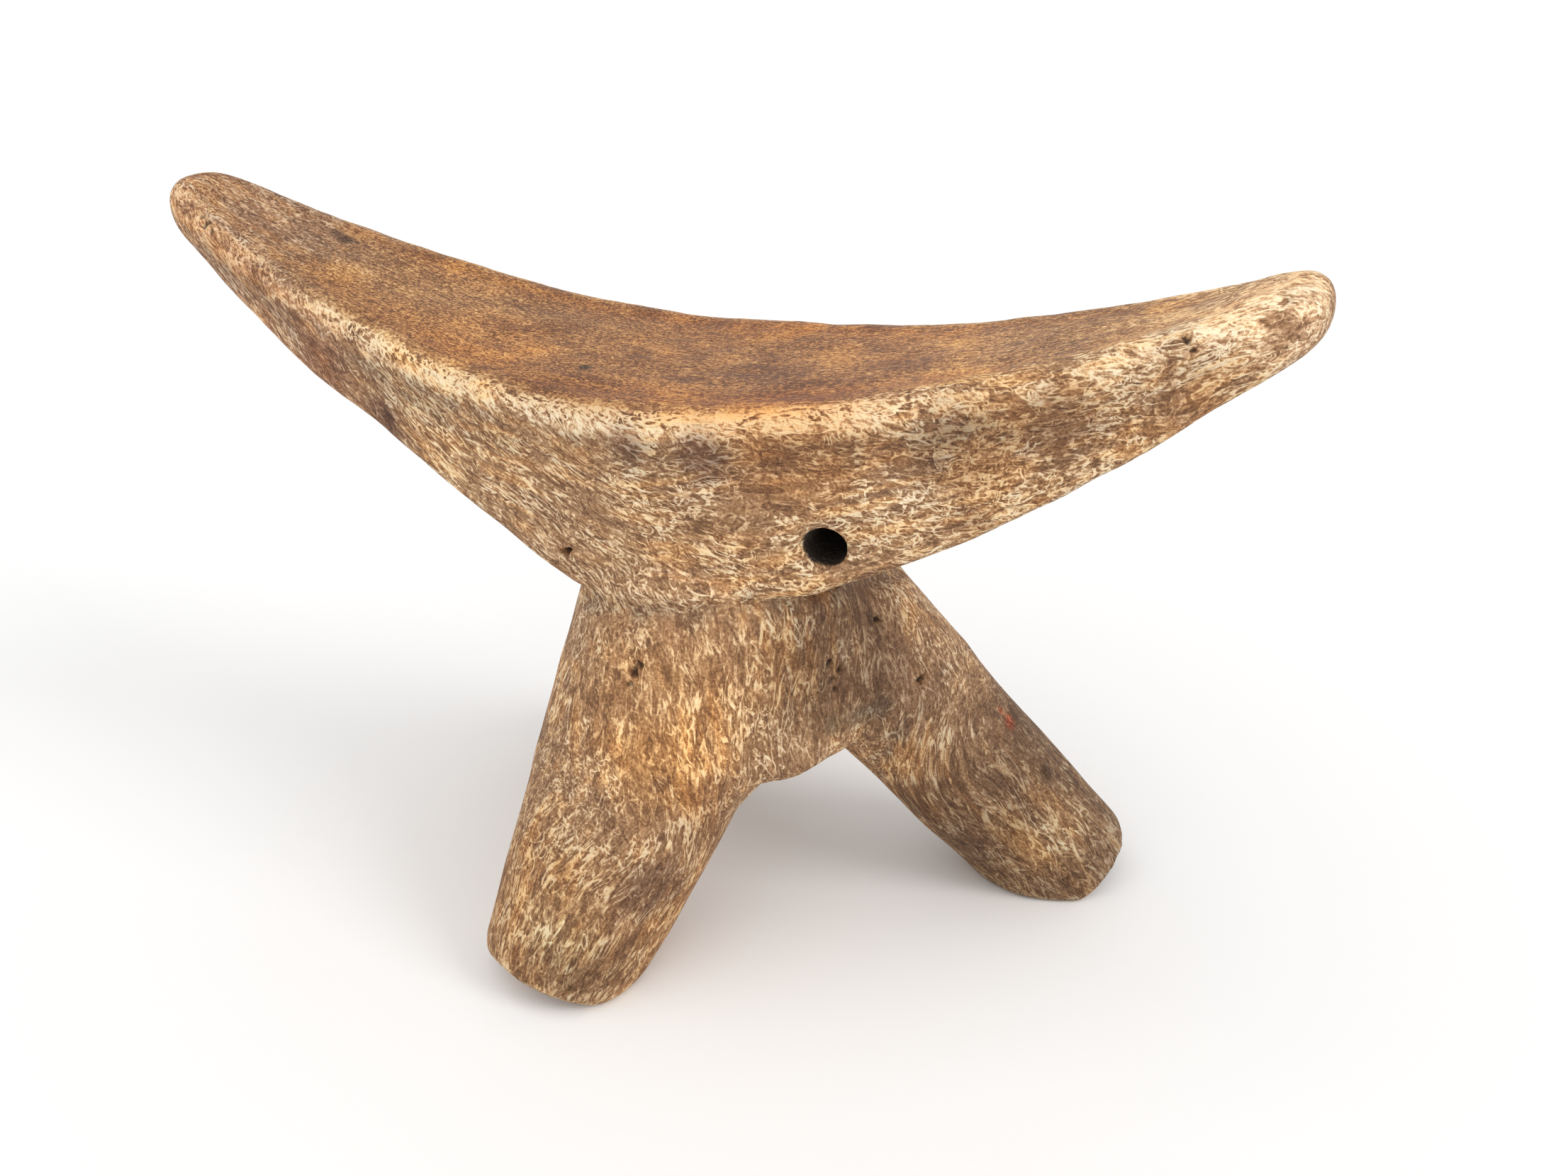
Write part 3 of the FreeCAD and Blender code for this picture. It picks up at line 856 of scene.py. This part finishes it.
scatter = add_node(work, "GeometryNodeDistributePointsOnFaces", distribute_method="RANDOM")
give(work, scatter.inputs["Mesh"], given["Geometry"])
give(work, scatter.inputs["Density"], given["Pits per square metre"])
give(work, scatter.inputs["Seed"], given["Seed"])
nearest_pit = add_node(work, "GeometryNodeProximity", target_element="POINTS")
give(work, nearest_pit.inputs[0], scatter.outputs["Points"])
give(work, nearest_pit.inputs["Sample Position"], here)
pit = add_node(work, "ShaderNodeMapRange", interpolation_type="SMOOTHSTEP")
give(work, pit.inputs["Value"], nearest_pit.outputs["Distance"])
give(work, pit.inputs["From Min"], 0.0)
give(work, pit.inputs["From Max"], given["Pit radius"])
give(work, pit.inputs["To Min"], 1.0)
give(work, pit.inputs["To Max"], 0.0)
unpolished = reckon(work, "SUBTRACT", 1.0, kept_field("polish", "FLOAT"))
pit_share = reckon(work, "MULTIPLY", pit.outputs["Result"], unpolished)
pit_depth = reckon(work, "MULTIPLY", pit_share, given["Pit depth"])
pricked = shifted(raised, reckon(work, "MULTIPLY", pit_depth, -1.0))

whole = add_node(work, "GeometryNodeRealizeInstances")
give(work, whole.inputs["Geometry"], pricked)
finished = add_node(work, "GeometryNodeSetMaterial")
give(work, finished.inputs["Geometry"], whole.outputs["Geometry"])
give(work, finished.inputs["Material"], given["Wood"])
give(work, add_node(work, "NodeGroupOutput").inputs["Geometry"], finished.outputs["Geometry"])

marks = fork.modifiers.new("marks_of_the_work", "NODES")
marks.node_group = work
marks[seed_socket.identifier] = MARKS_SEED
marks[wood_socket.identifier] = worn_wood
skin = made_plain(fork)
put_skin(skin_points())
keep_on_skin("lie", skin_normals())

# Parting: the members meet on plain faces, at the neck and at the root of each branch.
# The wood is whole, so nothing is taken off between them, and each keeps the skin's own lie.
PARTING_REACH = 38.0 * MM
PARTING_WELD = 0.002 * MM
LIMB_REACH = 37.0

parted = bmesh.new()
parted.from_mesh(skin)


def part_on(middle, up, reach=None):
    """Cut the skin on a plane, only within this reach of its middle where one is given."""
    faces = [face for face in parted.faces
             if reach is None or (face.calc_center_median() - Vector(middle)).length < reach]
    edges = list({edge for face in faces for edge in face.edges})
    ends = list({end for edge in edges for end in edge.verts})
    bmesh.ops.bisect_plane(parted, geom=ends + edges + faces, dist=PARTING_WELD,
                           plane_co=middle, plane_no=up)


part_on(NECK_MIDDLE, NECK_UP)
for limb in LIMBS:
    foot, up, middle = limb_line(limb)
    part_on(middle, up, PARTING_REACH)
parted.faces.ensure_lookup_table()
face_middle = np.array([face.calc_center_median() for face in parted.faces])
member_of = np.full(len(face_middle), "stem", dtype=object)
member_of[(face_middle - NECK_MIDDLE) @ NECK_UP > 0] = "headrest"
for limb in LIMBS:
    foot, up, middle = limb_line(limb)
    beyond = (face_middle - middle) @ up < 0
    member_of[beyond & (beside_limb(face_middle, foot, up) < LIMB_REACH)] = limb


def member_piece(name, node, wood):
    """One member of the carving, closed by plain faces where it was parted."""
    piece_mesh = parted.copy()
    piece_mesh.faces.ensure_lookup_table()
    gone = [piece_mesh.faces[i] for i in np.flatnonzero(member_of != node)]
    bmesh.ops.delete(piece_mesh, geom=gone, context="FACES")
    open_edges = [edge for edge in piece_mesh.edges if edge.is_boundary]
    caps = set(bmesh.ops.holes_fill(piece_mesh, edges=open_edges, sides=0)["faces"])
    middle = sum((vert.co for vert in piece_mesh.verts), Vector()) / len(piece_mesh.verts)
    for cap in caps:
        cap.normal_update()
        if cap.normal.dot(cap.calc_center_median() - middle) < 0:
            cap.normal_flip()
    lie = piece_mesh.verts.layers.float_vector["lie"]
    corner_normals = []
    for face in piece_mesh.faces:
        face.smooth = face not in caps
        corner_normals += [tuple(vert[lie] if face.smooth else face.normal) for vert in face.verts]
    mesh = bpy.data.meshes.new(name)
    piece_mesh.to_mesh(mesh)
    piece_mesh.free()
    mesh.attributes.remove(mesh.attributes["lie"])
    mesh.normals_split_custom_set(corner_normals)
    mesh.materials.clear()
    mesh.materials.append(wood)
    piece = bpy.data.objects.new(name, mesh)
    bpy.context.scene.collection.objects.link(piece)
    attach(piece, "root")
    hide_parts(node)


# Headrest: the dished seat and its two wings, the thickest part of the fork.
# It is hollowed with an adze and polished by use.
# A hole for a carrying thong is burnt through the block below the seat.
member_piece("carved_headrest", "headrest", polished_wood)

# Stem: the trunk of the fork, of the same wood, with the roots of the three branches.
# It is pared round with a knife, and runs into the seat above it without a joint.
member_piece("carved_stem", "stem", worn_wood)

# Legs: the three branches of the fork, left round and cut to one height.
# Their feet are ground level by long standing.
for limb in LIMBS:
    member_piece("carved_" + limb, limb, worn_wood)

parted.free()
bpy.data.objects.remove(fork)

# Floor: a wide sheet of white paper on a table, seen from a little above.
# It is white to the camera and reflects a little less, and it keeps the shadow.
PAPER_REACH = 9.0
PAPER_SEEN = (1.0, 1.0, 1.0, 1.0)
PAPER_GLOW = (0.80, 0.79, 0.77, 1.0)
PAPER_ROUGHNESS = 0.9
PAPER_SPECULAR = 0.1

paper_mesh = bpy.data.meshes.new("paper")
paper = bmesh.new()
bmesh.ops.create_grid(paper, x_segments=2, y_segments=2, size=PAPER_REACH)
paper.to_mesh(paper_mesh)
paper.free()
sheet = bpy.data.objects.new("paper", paper_mesh)
bpy.context.scene.collection.objects.link(sheet)
white_paper = bpy.data.materials.new("white_paper")
white_paper.use_nodes = True
paper_tree = white_paper.node_tree
paper_body = paper_tree.nodes["Principled BSDF"]
seen_by = add_node(paper_tree, "ShaderNodeLightPath")
paper_shade = add_node(paper_tree, "ShaderNodeMix", data_type="RGBA")
give(paper_tree, paper_shade.inputs[0], seen_by.outputs["Is Camera Ray"])
give(paper_tree, paper_shade.inputs[6], PAPER_GLOW)
give(paper_tree, paper_shade.inputs[7], PAPER_SEEN)
give(paper_tree, paper_body.inputs["Base Color"], paper_shade.outputs[2])
give(paper_tree, paper_body.inputs["Roughness"], PAPER_ROUGHNESS)
give(paper_tree, paper_body.inputs["Specular IOR Level"], PAPER_SPECULAR)
paper_mesh.materials.append(white_paper)

# Light: an even pale room, a wide soft lamp high before the carving, and a window to its right.
# The window's light lies along the seat, so the shadow falls to the left.
ROOM_STRENGTH = 0.66
ROOM_WHITE = (1.0, 1.0, 1.0, 1.0)
DAY_WHITE = (1.0, 0.995, 0.985)
LIGHTS = (
    # name, where it comes from, strength, width in degrees
    ("wide_lamp", (-0.25, -0.60, 1.20), 0.8, 70.0),
    ("window", (1.00, -0.12, 0.75), 0.85, 26.0),
)

room = bpy.data.worlds.new("pale_room")
bpy.context.scene.world = room
room.use_nodes = True
room_light = room.node_tree.nodes["Background"]
room_light.inputs["Color"].default_value = ROOM_WHITE
room_light.inputs["Strength"].default_value = ROOM_STRENGTH
for name, place, strength, width in LIGHTS:
    lamp_data = bpy.data.lights.new(name, "SUN")
    lamp_data.energy = strength
    lamp_data.angle = math.radians(width)
    lamp_data.color = DAY_WHITE
    lamp = bpy.data.objects.new(name, lamp_data)
    lamp.location = place
    lamp.rotation_mode = "QUATERNION"
    lamp.rotation_quaternion = (-lamp.location).to_track_quat("-Z", "Y")
    bpy.context.scene.collection.objects.link(lamp)

# Camera: a hand-held lens close to the carving, a little to its right.
# It looks down on the front of the seat, and keeps its own white.
SENSOR_WIDTH = 36.0
PICTURE_WIDTH = 2212.0
LENS_REACH = 2000.0
NEAREST_SEEN = 0.01
EYE = (0.154525, -0.315601, 0.271433)
GAZE = Vector((-0.33275, 0.82893, -0.44962))

lens = bpy.data.cameras.new("front_view")
lens.sensor_fit = "HORIZONTAL"
lens.sensor_width = SENSOR_WIDTH
lens.lens = SENSOR_WIDTH * LENS_REACH / PICTURE_WIDTH
lens.clip_start = NEAREST_SEEN
camera = bpy.data.objects.new("front_view", lens)
camera.location = EYE
camera.rotation_mode = "QUATERNION"
camera.rotation_quaternion = GAZE.to_track_quat("-Z", "Y")
bpy.context.scene.collection.objects.link(camera)
bpy.context.scene.camera = camera
bpy.context.scene.view_settings.view_transform = "Standard"
